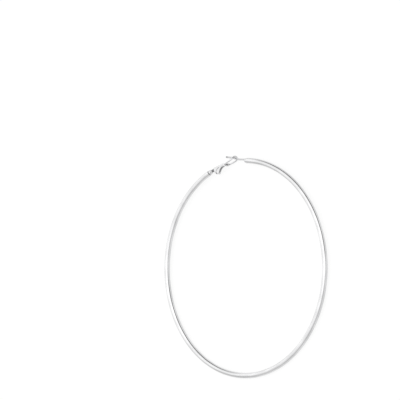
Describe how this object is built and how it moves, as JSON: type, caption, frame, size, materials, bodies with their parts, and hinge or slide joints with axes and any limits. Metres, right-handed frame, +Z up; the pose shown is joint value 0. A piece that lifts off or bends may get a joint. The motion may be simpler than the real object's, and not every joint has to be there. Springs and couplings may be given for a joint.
{
  "type": "hoop earring",
  "caption": "Large plain round-tube hoop earring with a straight ear post and a hinged wire latch loop, lying on its side.",
  "frame": {"origin": "on the surface the earring lies on, under the middle of its bounding box, close to the hoop's centre", "axes": "+Z up from that surface, within a degree of the hoop's axis; +Y from the hoop's centre towards the clasp; +X across the hoop, away from the bracket's side"},
  "size_m": [0.1, 0.101, 0.005],
  "materials": {
    "polished_hoop": "mirror-polished white metal plating",
    "polished_bracket": "tumbled bright white metal plating",
    "spring_steel": "rolled strip, satin",
    "polished_wire": "drawn wire, bright plating"
  },
  "bodies": {
    "hoop": {"hoop_and_ear_post": "polished_hoop", "hinge_bracket": "polished_bracket", "spring_leaf": "spring_steel"},
    "latch": {"latch_loop": "polished_wire"}
  },
  "joints": [
    {"name": "latch_swing", "type": "hinge", "parent": "hoop", "child": "latch", "pos_m": [-0.012, 0.0464, 0.0025], "axis": [0, -0.0123, 0.9999], "range_deg": [0, 95]}
  ]
}
